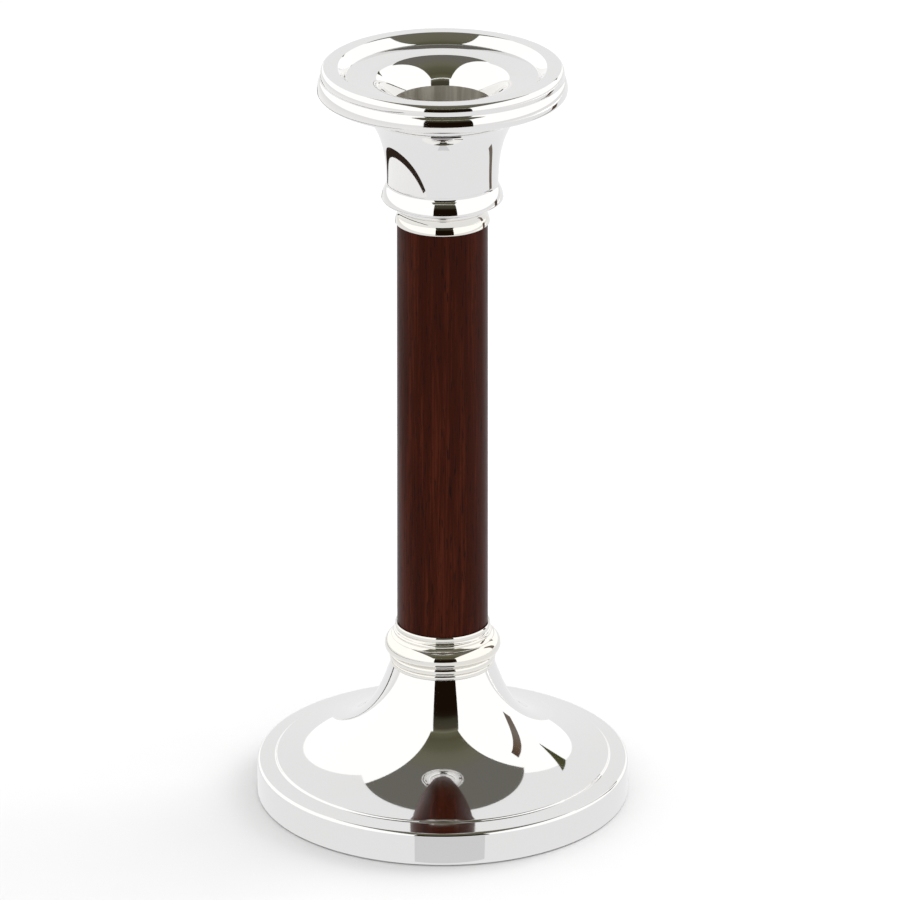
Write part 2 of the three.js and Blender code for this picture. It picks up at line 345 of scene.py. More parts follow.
@dataclass(frozen=True)
class PolishedSilver:
    """Mirror-polished silver plate: a clean mirror with faint polishing rings and a thin haze."""

    name: str = "polished_silver"
    colour: Colour = (0.83, 0.825, 0.815)
    warm: Colour = (0.83, 0.79, 0.68)
    warmth: float = 0.10
    haze: float = 0.035
    cloud_haze: float = 0.03
    ring_haze: float = 0.012
    dust_haze: float = 0.06
    rings_per_metre: float = 5200.0
    clouds_per_metre: float = 85.0
    dust_per_metre: float = 620.0

    def material(self) -> bpy.types.Material:
        """Builds the finish.

        Returns:
            The material.
        """
        g = Graph(self.name)
        place = g.place()
        x, y, z = g.split(place)
        radius = (x * x + y * y).root()
        pitch = self.rings_per_metre
        turns = g.join(radius * pitch, y.angle_from(x) * 1.5, z * pitch)
        rings = g.noise(turns, 1.0, detail=2.0, roughness=0.55)
        clouds = g.noise(place, self.clouds_per_metre, detail=4.0, roughness=0.6, distortion=0.4)
        dust = 1 - g.spots(place, self.dust_per_metre).step(0.03, 0.09)
        rough = self.haze + clouds.step(0.45, 0.8) * self.cloud_haze
        rough = rough + rings.step(0.55, 0.85) * self.ring_haze + dust * self.dust_haze
        colour = g.mix(clouds.step(0.35, 0.9) * self.warmth, self.colour, self.warm)
        return g.finish(
            Base_Color=colour,
            Metallic=1.0,
            Roughness=rough,
            Normal=g.bump(rings, strength=0.012, depth=0.02 * MM),
        )


@dataclass(frozen=True)
class SatinSilver:
    """Silver plate left as it was drawn: dull grey-brown with streaks along the axis."""

    name: str = "satin_silver"
    dark: Colour = (0.50, 0.465, 0.40)
    pale: Colour = (0.90, 0.88, 0.82)
    metal: float = 0.85
    dullness: float = 0.34
    grain_dullness: float = 0.2

    def material(self) -> bpy.types.Material:
        """Builds the finish.

        Returns:
            The material.
        """
        g = Graph(self.name)
        x, y, z = g.split(g.place())
        around = y.angle_from(x)
        streaks = g.noise(g.join(around * 4.5, z * 18.0, 0.0), 1.0, detail=5.0, roughness=0.65)
        grain = g.noise(g.join(around * 260.0, z * 90.0, 0.0), 1.0, detail=3.0, roughness=0.6)
        colour = g.mix(streaks.step(0.3, 0.7) * 0.8 + grain * 0.2, self.dark, self.pale)
        return g.finish(
            Base_Color=colour,
            Metallic=self.metal,
            Roughness=self.dullness + grain * self.grain_dullness,
            Normal=g.bump(grain, strength=0.25, depth=0.05 * MM),
        )


@dataclass(frozen=True)
class VarnishedWood:
    """Very dark reddish-brown hardwood with long streaks and open pores under a satin varnish."""

    name: str = "varnished_wood"
    heart: Colour = (0.025, 0.0036, 0.0010)
    middle: Colour = (0.042, 0.0066, 0.0018)
    flame: Colour = (0.072, 0.0125, 0.0045)
    pore: Colour = (0.008, 0.0028, 0.0016)
    varnish: float = 0.26
    fibre_dullness: float = 0.1
    pore_dullness: float = 0.12
    shine: float = 0.05
    sway_scale: Place = (60.0, 60.0, 14.0)
    fibre_scale: Place = (2400.0, 2400.0, 55.0)
    pore_scale: Place = (3400.0, 3400.0, 210.0)

    def material(self) -> bpy.types.Material:
        """Builds the finish.

        Returns:
            The material.
        """
        g = Graph(self.name)
        place = g.place()
        x, y, z = g.split(place)
        sway = g.noise(g.stretched(place, self.sway_scale), 1.0, detail=2.0)
        plank = g.join(x * 420.0 + sway * 3.0, y * 160.0 + sway * 2.0, z * 9.0)
        bands = g.noise(plank, 1.0, detail=4.0, roughness=0.6, distortion=0.5)
        fibre = g.noise(g.stretched(place, self.fibre_scale), 1.0, detail=3.0, roughness=0.6)
        pores = g.noise(g.stretched(place, self.pore_scale), 1.0, detail=2.0, roughness=0.5)
        tone = (bands * 0.55 + fibre * 0.45).step(0.28, 0.72)
        deep = g.mix(tone, self.heart, self.middle)
        lit = g.mix((tone - 0.45).step(0.0, 0.55) * 0.7, deep, self.flame)
        pits = 1 - pores.step(0.32, 0.42)
        colour = g.mix(pits * 0.8, lit, self.pore)
        height = 1 - pits * 0.8 + fibre * 0.25
        return g.finish(
            Base_Color=colour,
            Roughness=self.varnish + fibre * self.fibre_dullness + pits * self.pore_dullness,
            Specular_IOR_Level=self.shine,
            Normal=g.bump(height, strength=0.35, depth=0.03 * MM),
        )


@dataclass(frozen=True)
class PressedFelt:
    """Dense wool felt with loose fibres."""

    name: str = "pressed_felt"
    dark: Colour = (0.010, 0.030, 0.018)
    pale: Colour = (0.040, 0.085, 0.055)
    tufts_per_metre: float = 900.0
    thread_scale: Place = (3200.0, 900.0, 900.0)

    def material(self) -> bpy.types.Material:
        """Builds the finish.

        Returns:
            The material.
        """
        g = Graph(self.name)
        place = g.place()
        tufts = g.noise(place, self.tufts_per_metre, detail=6.0, roughness=0.7, distortion=1.5)
        strands = g.stretched(place, self.thread_scale)
        threads = g.noise(strands, 1.0, detail=3.0, roughness=0.6, distortion=2.0)
        nap = tufts * 0.6 + threads * 0.4
        return g.finish(
            Base_Color=g.mix(nap.step(0.3, 0.7), self.dark, self.pale),
            Roughness=0.95,
            Sheen_Weight=0.5,
            Normal=g.bump(nap, strength=0.9, depth=0.25 * MM),
        )


@dataclass(frozen=True)
class WorkedMetal:
    """Plain workshop metal: a base colour, blotches of a second one, and turning or casting marks."""

    name: str
    colour: Colour
    blotch: Colour
    roughness: float
    marks: float
    mark_scale: float
    clouds_per_metre: float = 240.0

    def material(self) -> bpy.types.Material:
        """Builds the finish.

        Returns:
            The material.
        """
        g = Graph(self.name)
        place = g.place()
        x, y, z = g.split(place)
        radius = (x * x + y * y).root()
        cloud = g.noise(place, self.clouds_per_metre, detail=5.0, roughness=0.6)
        turns = g.join(radius * self.mark_scale, y.angle_from(x) * 2.0, z * self.mark_scale)
        lines = g.noise(turns, 1.0, detail=2.0)
        return g.finish(
            Base_Color=g.mix(cloud.step(0.4, 0.75), self.colour, self.blotch),
            Metallic=0.9,
            Roughness=self.roughness + cloud * 0.12,
            Normal=g.bump(lines * 0.6 + cloud * 0.4, strength=self.marks, depth=0.1 * MM),
        )


@dataclass(frozen=True)
class PressedFibre:
    """Hard red-brown washer fibre with a mottled, papery face."""

    name: str = "pressed_fibre"
    dark: Colour = (0.14, 0.045, 0.025)
    pale: Colour = (0.30, 0.12, 0.065)
    flakes_per_metre: float = 1400.0

    def material(self) -> bpy.types.Material:
        """Builds the finish.

        Returns:
            The material.
        """
        g = Graph(self.name)
        flakes = g.noise(g.place(), self.flakes_per_metre, detail=5.0, roughness=0.65, distortion=0.8)
        return g.finish(
            Base_Color=g.mix(flakes.step(0.35, 0.7), self.dark, self.pale),
            Roughness=0.7 + flakes * 0.15,
            Normal=g.bump(flakes, strength=0.4, depth=0.05 * MM),
        )


ZINC_STEEL = WorkedMetal("zinc_steel", (0.50, 0.51, 0.52), (0.40, 0.41, 0.40), 0.32, 0.25, 3000.0)
CAST_IRON = WorkedMetal("cast_iron", (0.075, 0.075, 0.08), (0.13, 0.10, 0.085), 0.62, 0.8, 700.0)
TURNED_BRASS = WorkedMetal("turned_brass", (0.62, 0.43, 0.16), (0.50, 0.33, 0.12), 0.28, 0.3, 2600.0)


# ---------------------------------------------------------------------------------------------
# Turning
# ---------------------------------------------------------------------------------------------


def mm(*points: Point) -> tuple[Point, ...]:
    """Points given in millimetres, in metres."""
    return tuple((radius * MM, height * MM) for radius, height in points)


@dataclass(frozen=True)
class Bead:
    """Part of an ellipse in a section."""

    centre: Point
    reach: float
    rise: float
    start: float
    stop: float

    @classmethod
    def of(cls, centre: Point, reach: float, rise: float, start: float, stop: float) -> "Bead":
        """A bead given in millimetres and degrees.

        Args:
            centre: The centre's radius and height.
            reach: The half-axis across.
            rise: The half-axis up.
            start: The angle of the first point.
            stop: The angle of the last point.

        Returns:
            The bead in metres and degrees.
        """
        return cls((centre[0] * MM, centre[1] * MM), reach * MM, rise * MM, start, stop)


class Outline:
    """A section of a turned piece: (radius, height) points in metres, drawn as a turner would."""

    CORNER_STEPS: ClassVar[int] = 6

    def __init__(self, radius: float, height: float, soft: float = 0.0) -> None:
        """Starts the section.

        Args:
            radius: The first point's distance from the axis.
            height: The first point's height.
            soft: The radius that the corner there is rounded to.
        """
        self._corners: list[tuple[Vector, float]] = [(Vector((radius, height)), soft)]

    def to(self, radius: float, height: float, soft: float = 0.0) -> "Outline":
        """Goes straight to a point.

        Args:
            radius: The point's distance from the axis.
            height: The point's height.
            soft: The radius that the corner there is rounded to.

        Returns:
            The same outline.
        """
        self._corners.append((Vector((radius, height)), soft))
        return self

    def bead(self, bead: "Bead", steps: int = 16) -> "Outline":
        """Goes along part of an ellipse.

        Args:
            bead: The part of an ellipse.
            steps: How many steps there are.

        Returns:
            The same outline.
        """
        for i in range(steps + 1):
            angle = math.radians(bead.start + (bead.stop - bead.start) * i / steps)
            across, up = bead.reach * math.cos(angle), bead.rise * math.sin(angle)
            self.to(bead.centre[0] + across, bead.centre[1] + up)
        return self

    def sweep(self, curve: Curve, steps: int = 24) -> "Outline":
        """Goes along a curve that leaves towards its second point and arrives from its third.

        Args:
            curve: The start, the two points that pull the curve, and the end.
            steps: How many steps there are.

        Returns:
            The same outline.
        """
        a, b, c, d = (Vector(point) for point in curve)
        for i in range(steps + 1):
            t = i / steps
            s = 1 - t
            point = s**3 * a + 3 * s * s * t * b + 3 * s * t * t * c + t**3 * d
            self.to(point.x, point.y)
        return self

    def run(self) -> list[Point]:
        """The corners so far, unrounded."""
        return [(corner.x, corner.y) for corner, _ in self._corners]

    def inside(self, wall: float) -> list[Point]:
        """The run so far, moved inwards by a wall's thickness, in reverse order.

        Args:
            wall: The wall's thickness.

        Returns:
            The moved points, from the last one to the first.
        """
        run = [corner for corner, _ in self._corners]
        moved = []
        for i, here in enumerate(run):
            along = run[min(i + 1, len(run) - 1)] - run[max(i - 1, 0)]
            across = Vector((-along.y, along.x)).normalized() * wall
            moved.append((here.x + across.x, here.y + across.y))
        return moved[::-1]

    def through(self, run: list[Point]) -> "Outline":
        """Goes straight through each point of a run.

        Args:
            run: The points, in order.

        Returns:
            The same outline.
        """
        for radius, height in run:
            self.to(radius, height)
        return self

    def points(self, closed: bool) -> list[Point]:
        """The finished run of points with its soft corners rounded.

        Args:
            closed: Whether the last point joins the first one.

        Returns:
            The points in order.
        """
        run = self._corners
        made: list[Point] = []
        for i, (here, soft) in enumerate(run):
            at_end = i in (0, len(run) - 1)
            if soft <= 0 or (at_end and not closed):
                made.append((here.x, here.y))
                continue
            before, after = run[i - 1][0], run[(i + 1) % len(run)][0]
            made.extend(self._rounded(before, here, after, soft))
        return made

    def _rounded(self, before: Vector, here: Vector, after: Vector, soft: float) -> list[Point]:
        """Rounds one corner.

        Args:
            before: The point before the corner.
            here: The corner.
            after: The point after the corner.
            soft: The rounding radius.

        Returns:
            The points of the rounded corner.
        """
        back, on = before - here, after - here
        half = back.angle(on) / 2
        reach = min(soft / math.tan(half), 0.45 * back.length, 0.45 * on.length)
        start, stop = here + back.normalized() * reach, here + on.normalized() * reach
        made = []
        for i in range(self.CORNER_STEPS + 1):
            t = i / self.CORNER_STEPS
            point = (1 - t) ** 2 * start + 2 * t * (1 - t) * here + t * t * stop
            made.append((point.x, point.y))
        return made


def deselect_all() -> None:
    """Leaves every object unselected."""
    bpy.ops.object.select_all(action="DESELECT")


@dataclass(frozen=True)
class Lathe:
    """Turns sections into solids round the vertical axis."""

    facets: int = 192
    crease: float = 38.0
    same_point: float = 0.001 * MM

    def turn(self, name: str, outline: Outline, closed: bool = True) -> bpy.types.Object:
        """Turns one piece.

        Args:
            name: The piece's name.
            outline: Its section. An open section starts and ends on the axis.
            closed: Whether the section closes on itself.

        Returns:
            The finished piece, at the origin, with its place in its mesh.
        """
        points = outline.points(closed)
        deselect_all()
        bpy.ops.mesh.primitive_plane_add(size=MM, location=(points[0][0], 0, points[0][1]))
        piece = bpy.context.object
        piece.name = name
        piece.data.name = name
        bpy.ops.object.transform_apply(location=True, rotation=True, scale=True)
        bpy.ops.object.mode_set(mode="EDIT")
        bpy.ops.mesh.select_all(action="SELECT")
        bpy.ops.mesh.merge(type="CENTER")
        self._draw(points + points[:1] if closed else points)
        bpy.ops.mesh.select_all(action="SELECT")
        bpy.ops.mesh.spin(steps=self.facets, angle=FULL_TURN, center=(0, 0, 0), axis=(0, 0, 1))
        bpy.ops.mesh.select_all(action="SELECT")
        bpy.ops.mesh.remove_doubles(threshold=self.same_point)
        bpy.ops.mesh.normals_make_consistent(inside=False)
        bpy.ops.object.mode_set(mode="OBJECT")
        self.smooth(piece)
        return piece

    @staticmethod
    def _draw(points: list[Point]) -> None:
        """Extrudes the one selected vertex along the section.

        Args:
            points: The section's points. The vertex stands on the first one.
        """
        for (r0, z0), (r1, z1) in zip(points, points[1:]):
            move = {"value": (r1 - r0, 0, z1 - z0)}
            bpy.ops.mesh.extrude_region_move(TRANSFORM_OT_translate=move)

    def smooth(self, piece: bpy.types.Object) -> None:
        """Shades a piece smooth between its creases, with flats that stay flat.

        Args:
            piece: The turned piece.
        """
        deselect_all()
        piece.select_set(True)
        bpy.context.view_layer.objects.active = piece
        bpy.ops.object.shade_smooth_by_angle(angle=math.radians(self.crease))
        bpy.ops.object.modifier_add(type="WEIGHTED_NORMAL")
        piece.modifiers[-1].keep_sharp = True
        bpy.ops.object.modifier_apply(modifier=piece.modifiers[-1].name)


class SubAssembly:
    """A group of pieces that are made and dressed together."""

    def __init__(self) -> None:
        """Starts with no pieces."""
        self.pieces: list[bpy.types.Object] = []

    def keep(self, piece: bpy.types.Object, node: str, body: Body, slot: Slot, finish: Any) -> None:
        """Dresses a new piece and puts it in place of its CAD node.

        Args:
            piece: The finished mesh.
            node: The CAD node that it stands for.
            body: The body that it rides on.
            slot: The record's material slot; not used.
            finish: The finish that dresses it.
        """
        piece.data.materials.clear()
        piece.data.materials.append(FINISHES.of(finish))
        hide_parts(node)
        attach(piece, body.value)
        self.pieces.append(piece)

    def dress(self, node: str, slot: Slot, finish: Any) -> None:
        """Gives a CAD node its finish.

        Args:
            node: The CAD node.
            slot: The record's material slot; not used.
            finish: The finish that dresses it.
        """
        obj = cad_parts[node]
        obj.data.materials.clear()
        obj.data.materials.append(FINISHES.of(finish))
        self.pieces.append(obj)


class FinishShelf:
    """Makes each finish's material once."""

    def __init__(self) -> None:
        """Starts empty."""
        self._made: dict[Any, bpy.types.Material] = {}

    def of(self, finish: Any) -> bpy.types.Material:
        """The material of a finish.

        Args:
            finish: A frozen finish.

        Returns:
            Its one material.
        """
        if finish not in self._made:
            self._made[finish] = finish.material()
        return self._made[finish]


FINISHES = FinishShelf()
SILVER = PolishedSilver()
WARM_SILVER = PolishedSilver(name="warm_polished_silver", colour=(0.83, 0.815, 0.775), warmth=0.5)


# ---------------------------------------------------------------------------------------------
# Sub-assemblies
# ---------------------------------------------------------------------------------------------


@dataclass
class Foot(SubAssembly):
    """The weighted foot: spun shell, closing disc and felt."""

    plate: float = 1.2 * MM
    edge: float = 0.9 * MM
    heel: float = 0.2 * MM
    slope: float = 12.0
    neck: float = 12.6 * MM
    hole: float = 2.9 * MM
    band_top: float = 8.5 * MM
    step_foot: Curve = mm((41.05, 9.24), (40.85, 9.3), (40.75, 9.36), (40.7, 9.46))
    step_edge: Curve = mm((40.68, 9.5), (40.62, 9.62), (40.5, 9.67), (40.15, 9.74))
    bell: tuple[Point, ...] = mm((39.6, 9.86), (20.0, 14.7), (16.75, 21.85))
    disc_edge: float = 0.25 * MM
    felt_edge: float = 0.5 * MM
    lathe: Lathe = field(default_factory=lambda: Lathe(facets=256))

    def __post_init__(self) -> None:
        """Takes the foot's outer size from the frame."""
        super().__init__()
        self.low, self.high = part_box("base_shell")

    def build(self) -> None:
        """Makes every piece of the foot."""
        self._shell()
        self._disc()
        self._felt()
        self.dress("ballast_weight", Slot.CAST_IRON, CAST_IRON)

    def _shell(self) -> None:
        """The wall, the band, the raised line, the flange and the bell, in one spun sheet."""
        rim, top = self.high.x, self.high.z
        outside = Outline(rim, self.low.z + self.heel)
        corner = (rim - self.edge, self.band_top - self.edge)
        outside.bead(Bead(corner, self.edge, self.edge, 0, 90 - self.slope), steps=12)
        outside.sweep(self.step_foot, steps=10).sweep(self.step_edge, steps=12)
        outside.sweep((*self.bell, (self.neck, top)), steps=90)
        inside = outside.inside(self.plate)
        inside[0] = (self.neck - self.plate, top - self.plate)
        outside.to(self.hole, top).to(self.hole, top - self.plate).through(inside[:-1])
        outside.to(rim - self.plate, self.low.z, soft=self.heel).to(rim, self.low.z, soft=self.heel)
        shell = self.lathe.turn("spun_foot", outside)
        self.keep(shell, "base_shell", Body.STAND, Slot.POLISHED_SILVER, SILVER)

    def _disc(self) -> None:
        """The steel disc that closes the foot."""
        low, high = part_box("bottom_disc")
        outline = Outline(0, low.z).to(high.x, low.z, soft=self.disc_edge)
        outline.to(high.x, high.z, soft=self.disc_edge).to(0, high.z)
        disc = self.lathe.turn("closing_disc", outline, closed=False)
        self.keep(disc, "bottom_disc", Body.STAND, Slot.ZINC_STEEL, ZINC_STEEL)

    def _felt(self) -> None:
        """The round felt, with its soft edge."""
        low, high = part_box("felt_pad")
        outline = Outline(0, low.z).to(high.x, low.z, soft=self.felt_edge)
        outline.to(high.x, high.z, soft=self.felt_edge).to(0, high.z)
        felt = self.lathe.turn("felt_disc", outline, closed=False)
        self.keep(felt, "felt_pad", Body.STAND, Slot.FELT, PressedFelt())


@dataclass
class Collar(SubAssembly):
    """The turned collar between the bell and the wood."""

    foot_ring: Curve = mm((12.6, 34.02), (12.75, 34.1), (12.82, 34.8), (12.6, 35.1))
    lower_bead: Bead = Bead.of((12.3, 36.1), 0.65, 1.05, -60, 75)
    torus_under: Bead = Bead.of((11.65, 38.8), 2.4, 2.1, -60, 0)
    torus_over: Bead = Bead.of((11.65, 38.8), 2.4, 2.6, 2, 75)
    upper_bead: Bead = Bead.of((11.5, 42.35), 0.45, 0.5, -60, 80)
    cove: Curve = mm((11.55, 42.95), (11.25, 43.1), (11.2, 43.4), (11.42, 43.6))
    lip: float = 11.53 * MM
    lip_edge: float = 11.35 * MM
    lip_foot: float = 43.74 * MM
    lip_bevel: float = 0.35 * MM
    lip_softness: float = 0.06 * MM
    undercut: float = 0.05 * MM
    socket: float = 11.15 * MM
    seat: float = 43.5 * MM
    bush_depth: float = 5.0 * MM
    bush_bore: float = 5.4 * MM
    hole: float = 2.9 * MM
    lathe: Lathe = field(default_factory=Lathe)

    def __post_init__(self) -> None:
        """Takes the collar's outer size from the frame."""
        super().__init__()
        self.low, self.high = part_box("lower_collar")

    def build(self) -> None:
        """Makes the collar and dresses what it hides."""
        foot, top = self.low.z, self.high.z
        outline = Outline(self.hole, foot).to(self.foot_ring[0][0] - self.undercut, foot)
        outline.sweep(self.foot_ring, steps=12).bead(self.lower_bead, steps=16)
        outline.bead(self.torus_under, steps=20).bead(self.torus_over, steps=28)
        outline.bead(self.upper_bead, steps=12)
        outline.sweep(self.cove, steps=12).to(self.lip, self.lip_foot, soft=self.lip_softness)
        outline.to(self.lip, top - self.lip_bevel, soft=0.15 * MM)
        outline.to(self.lip_edge, top, soft=self.lip_softness)
        outline.to(self.socket, top, soft=self.lip_softness).to(self.socket, self.seat)
        outline.to(self.bush_bore, self.seat).to(self.bush_bore, self.seat - self.bush_depth)
        outline.to(self.hole, self.seat - self.bush_depth)
        collar = self.lathe.turn("turned_collar", outline)
        self.keep(collar, "lower_collar", Body.STAND, Slot.POLISHED_SILVER, WARM_SILVER)
        self.dress("lower_bush", Slot.BRASS, TURNED_BRASS)
        self.dress("lower_fibre_washer", Slot.FIBRE, PressedFibre())


@dataclass
class Column(SubAssembly):
    """The slim wooden column, bored for the rod and its bushes."""

    taper: float = 0.2 * MM
    bore: float = 3.1 * MM
    pocket: float = 5.4 * MM
    pocket_depth: float = 8.2 * MM
    arris: float = 0.25 * MM
    lathe: Lathe = field(default_factory=Lathe)
    LENGTHS: ClassVar[int] = 6

    def __post_init__(self) -> None:
        """Takes the column's size from the frame."""
        super().__init__()
        self.low, self.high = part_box("wood_column")

    def build(self) -> None:
        """Makes the column."""
        foot, head, radius = self.low.z, self.high.z, self.high.x
        outline = Outline(self.pocket, foot)
        outline.to(radius, foot, self.arris)
        for i in range(1, self.LENGTHS):
            share = i / self.LENGTHS
            outline.to(radius - self.taper * share, foot + (head - foot) * share)
        outline.to(radius - self.taper, head, self.arris)
        outline.to(self.pocket, head).to(self.pocket, head - self.pocket_depth)
        outline.to(self.bore, head - self.pocket_depth).to(self.bore, foot + self.pocket_depth)
        outline.to(self.pocket, foot + self.pocket_depth)
        column = self.lathe.turn("turned_column", outline)
        self.keep(column, "wood_column", Body.STAND, Slot.DARK_WOOD, VarnishedWood())


@dataclass
class CandleCup(SubAssembly):
    """The ferrule, the knop and the flared cup on top of the column."""

    hole: float = 2.9 * MM
    bush_bore: float = 5.4 * MM
    bush_top: float = 150.4 * MM
    ferrule_edge: float = 10.95 * MM
    ferrule_band: Bead = Bead.of((6.4, 147.53), 4.9, 4.9, 5, 26.9)
    ferrule_cove: Curve = mm((10.78, 150.2), (10.74, 151.1), (11.05, 151.7), (11.55, 152.0))
    knop_cove: Curve = mm((11.55, 152.0), (11.8, 152.55), (12.1, 153.0), (12.6, 153.2))
    knop_edge: Curve = mm((13.85, 153.5), (14.2, 153.58), (14.46, 153.75), (14.5, 154.1))
    knop_band: Bead = Bead.of((6.6, 152.9), 8.0, 8.0, 9.2, 33)
    knop_fillet: Curve = mm((13.29, 157.3), (13.1, 157.6), (13.1, 157.95), (13.3, 158.3))
    knop_bore: float = 12.1 * MM
    spigot: float = 11.9 * MM
    flare: Curve = mm((13.3, 158.3), (13.35, 166.3), (15.2, 171.6), (18.1, 174.9))
    throat: Point = (12.3 * MM, 158.9 * MM)
    rim_inner: float = 17.0 * MM
    rim_bevel: float = 0.05 * MM
    wall: float = 1.0 * MM
    floor: float = 1.2 * MM
    lathe: Lathe = field(default_factory=Lathe)

    def __post_init__(self) -> None:
        """Takes the three pieces' sizes from the frame."""
        super().__init__()
        self.ferrule_low, self.ferrule_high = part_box("upper_ferrule")
        self.knop_low, self.knop_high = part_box("upper_knop")
        self.cup_low, self.cup_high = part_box("cup_body")

    def build(self) -> None:
        """Makes the three turned pieces and dresses the fasteners inside them."""
        self._ferrule()
        self._knop()
        self._cup()
        self.dress("upper_bush", Slot.BRASS, TURNED_BRASS)
        for node in ("cup_washer", "cup_nut"):
            self.dress(node, Slot.ZINC_STEEL, ZINC_STEEL)

    def _ferrule(self) -> None:
        """The bulging band and the cove above it."""
        foot, top = self.ferrule_low.z, self.ferrule_high.z
        outline = Outline(self.bush_bore, foot).to(self.ferrule_edge, foot, soft=0.05 * MM)
        outline.bead(self.ferrule_band, steps=16).sweep(self.ferrule_cove, steps=20)
        outline.to(self.hole, top).to(self.hole, self.bush_top).to(self.bush_bore, self.bush_top)
        ferrule = self.lathe.turn("column_ferrule", outline)
        self.keep(ferrule, "upper_ferrule", Body.STAND, Slot.POLISHED_SILVER, WARM_SILVER)

    def _knop(self) -> None:
        """The rounded ring under the cup."""
        foot, top, floor = self.knop_low.z, self.knop_high.z, self.cup_low.z
        outline = Outline(self.hole, foot).sweep(self.knop_cove, steps=16)
        outline.sweep(self.knop_edge, steps=16).bead(self.knop_band, steps=30)
        outline.sweep(self.knop_fillet, steps=14)
        outline.to(self.knop_bore, top).to(self.knop_bore, floor).to(self.hole, floor)
        knop = self.lathe.turn("cup_knop", outline)
        self.keep(knop, "upper_knop", Body.STAND, Slot.POLISHED_SILVER, SILVER)

    def _cup(self) -> None:
        """The flared cup with its spigot."""
        foot, top, rim = self.cup_low.z, self.cup_high.z, self.cup_high.x
        shoulder = self.flare[0][1]
        flare = Outline(*self.flare[0]).sweep(self.flare, steps=48)
        inside = flare.inside(self.wall)
        inside[0] = (self.rim_inner, top)
        inside[-1] = self.throat
        bore = self.spigot - self.wall
        outline = Outline(self.hole, foot).to(self.spigot, foot).to(self.spigot, shoulder)
        outline.through(flare.run()[1:]).to(rim - self.rim_bevel, top, soft=0.1 * MM).through(inside)
        outline.to(bore, self.throat[1]).to(bore, foot + self.floor).to(self.hole, foot + self.floor)
        cup = self.lathe.turn("flared_cup", outline)
        self.keep(cup, "cup_body", Body.STAND, Slot.POLISHED_SILVER, SILVER)


@dataclass
class Nozzle(SubAssembly):
    """The lift-out drip pan and the candle socket soldered into it."""

    bore: float = 11.25 * MM
    foot_bevel: float = 0.4 * MM
    bore_mouth: float = 11.75 * MM
    socket_wall: float = 0.85 * MM
    seat_radius: float = 9.8 * MM
    floor: float = 1.0 * MM
    pan_wall: float = 1.1 * MM
    mouth: float = 11.8 * MM
    mouth_outer: float = 12.95 * MM
    throat: Curve = mm((17.7, 183.69), (15.4, 183.48), (13.35, 181.15), (11.8, 177.6))
    under_throat: float = 182.25 * MM
    skirt_inner: float = 16.6 * MM
    skirt_outer: float = 17.7 * MM
    skirt_gap: float = 0.2 * MM
    underside: tuple[Point, ...] = mm(
        (17.7, 181.9), (18.3, 182.5), (23.4, 182.7), (24.8, 181.8), (26.6, 180.3)
    )
    rim_under: Bead = Bead.of((28.3, 180.9), 1.3, 1.1, -95, 0)
    rim_over: Bead = Bead.of((28.3, 180.9), 1.3, 3.0, 2, 63.5)
    groove: Curve = mm((28.86, 183.61), (28.7, 183.82), (28.64, 184.02), (28.71, 184.2))
    lip_bead: Bead = Bead.of((27.7, 184.8), 1.1, 1.7, -19, 90)
    lip_inner: float = 24.9 * MM
    wall: Curve = mm((24.65, 186.38), (24.06, 185.83), (23.1, 184.9), (22.75, 184.3))
    fillet: Curve = mm((22.72, 184.26), (22.64, 184.16), (22.5, 184.13), (22.3, 184.12))
    lathe: Lathe = field(default_factory=lambda: Lathe(facets=256))

    def __post_init__(self) -> None:
        """Takes both pieces' sizes from the frame."""
        super().__init__()
        self.socket_low, self.socket_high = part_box("candle_socket")
        self.pan_low, self.pan_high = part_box("drip_pan")

    def build(self) -> None:
        """Makes the socket and the pan."""
        self._socket()
        self._pan()

    def _socket(self) -> None:
        """The satin sleeve, a little wider at its mouth, with its flat floor."""
        foot, top = self.socket_low.z, self.socket_high.z
        outer = self.bore + self.socket_wall
        fillet = self.bore - self.seat_radius
        seat = foot + self.floor
        outline = Outline(0, foot).to(outer, foot, soft=self.foot_bevel).to(self.socket_high.x, top)
        outline.to(self.bore_mouth, top)
        corner = Bead((self.seat_radius, seat + fillet), fillet, fillet, 0, -90)
        outline.bead(corner, steps=10).to(0, seat)
        socket = self.lathe.turn("candle_sleeve", outline, closed=False)
        self.keep(socket, "candle_socket", Body.NOZZLE, Slot.SATIN_SILVER, SatinSilver())

    def _pan(self) -> None:
        """The lip, the dish, the rounded throat, the beaded edge and the skirt."""
        foot, top, mouth = self.pan_low.z, self.pan_high.z, self.socket_high.z
        throat = Outline(*self.throat[0]).sweep(self.throat, steps=40)
        reach = self.skirt_inner - self.skirt_gap
        inner_run = throat.inside(self.pan_wall)
        under = [(radius, height) for radius, height in inner_run if height > mouth and radius < reach]
        outline = Outline(self.mouth, mouth).to(self.mouth_outer, mouth).through(under)
        outline.to(self.skirt_inner, self.under_throat, soft=0.3 * MM).to(self.skirt_inner, foot)
        outline.to(self.skirt_outer, foot, soft=0.1 * MM)
        for radius, height in self.underside:
            outline.to(radius, height, soft=0.4 * MM)
        outline.bead(self.rim_under, steps=24).bead(self.rim_over, steps=20).sweep(self.groove, steps=10)
        outline.bead(self.lip_bead, steps=26).to(self.lip_inner, top, soft=0.3 * MM)
        outline.sweep(self.wall, steps=26).sweep(self.fillet, steps=8).through(throat.run()[:-1])
        pan = self.lathe.turn("spun_drip_pan", outline)
        self.keep(pan, "drip_pan", Body.NOZZLE, Slot.POLISHED_SILVER, SILVER)


class Fasteners(SubAssembly):
    """The rod, nut and washers in the foot."""

    def build(self) -> None:
        """Dresses each of them."""
        for node in ("tie_rod", "base_nut", "base_spring_washer", "base_washer"):
            self.dress(node, Slot.ZINC_STEEL, ZINC_STEEL)


# ---------------------------------------------------------------------------------------------
# Studio
# ---------------------------------------------------------------------------------------------


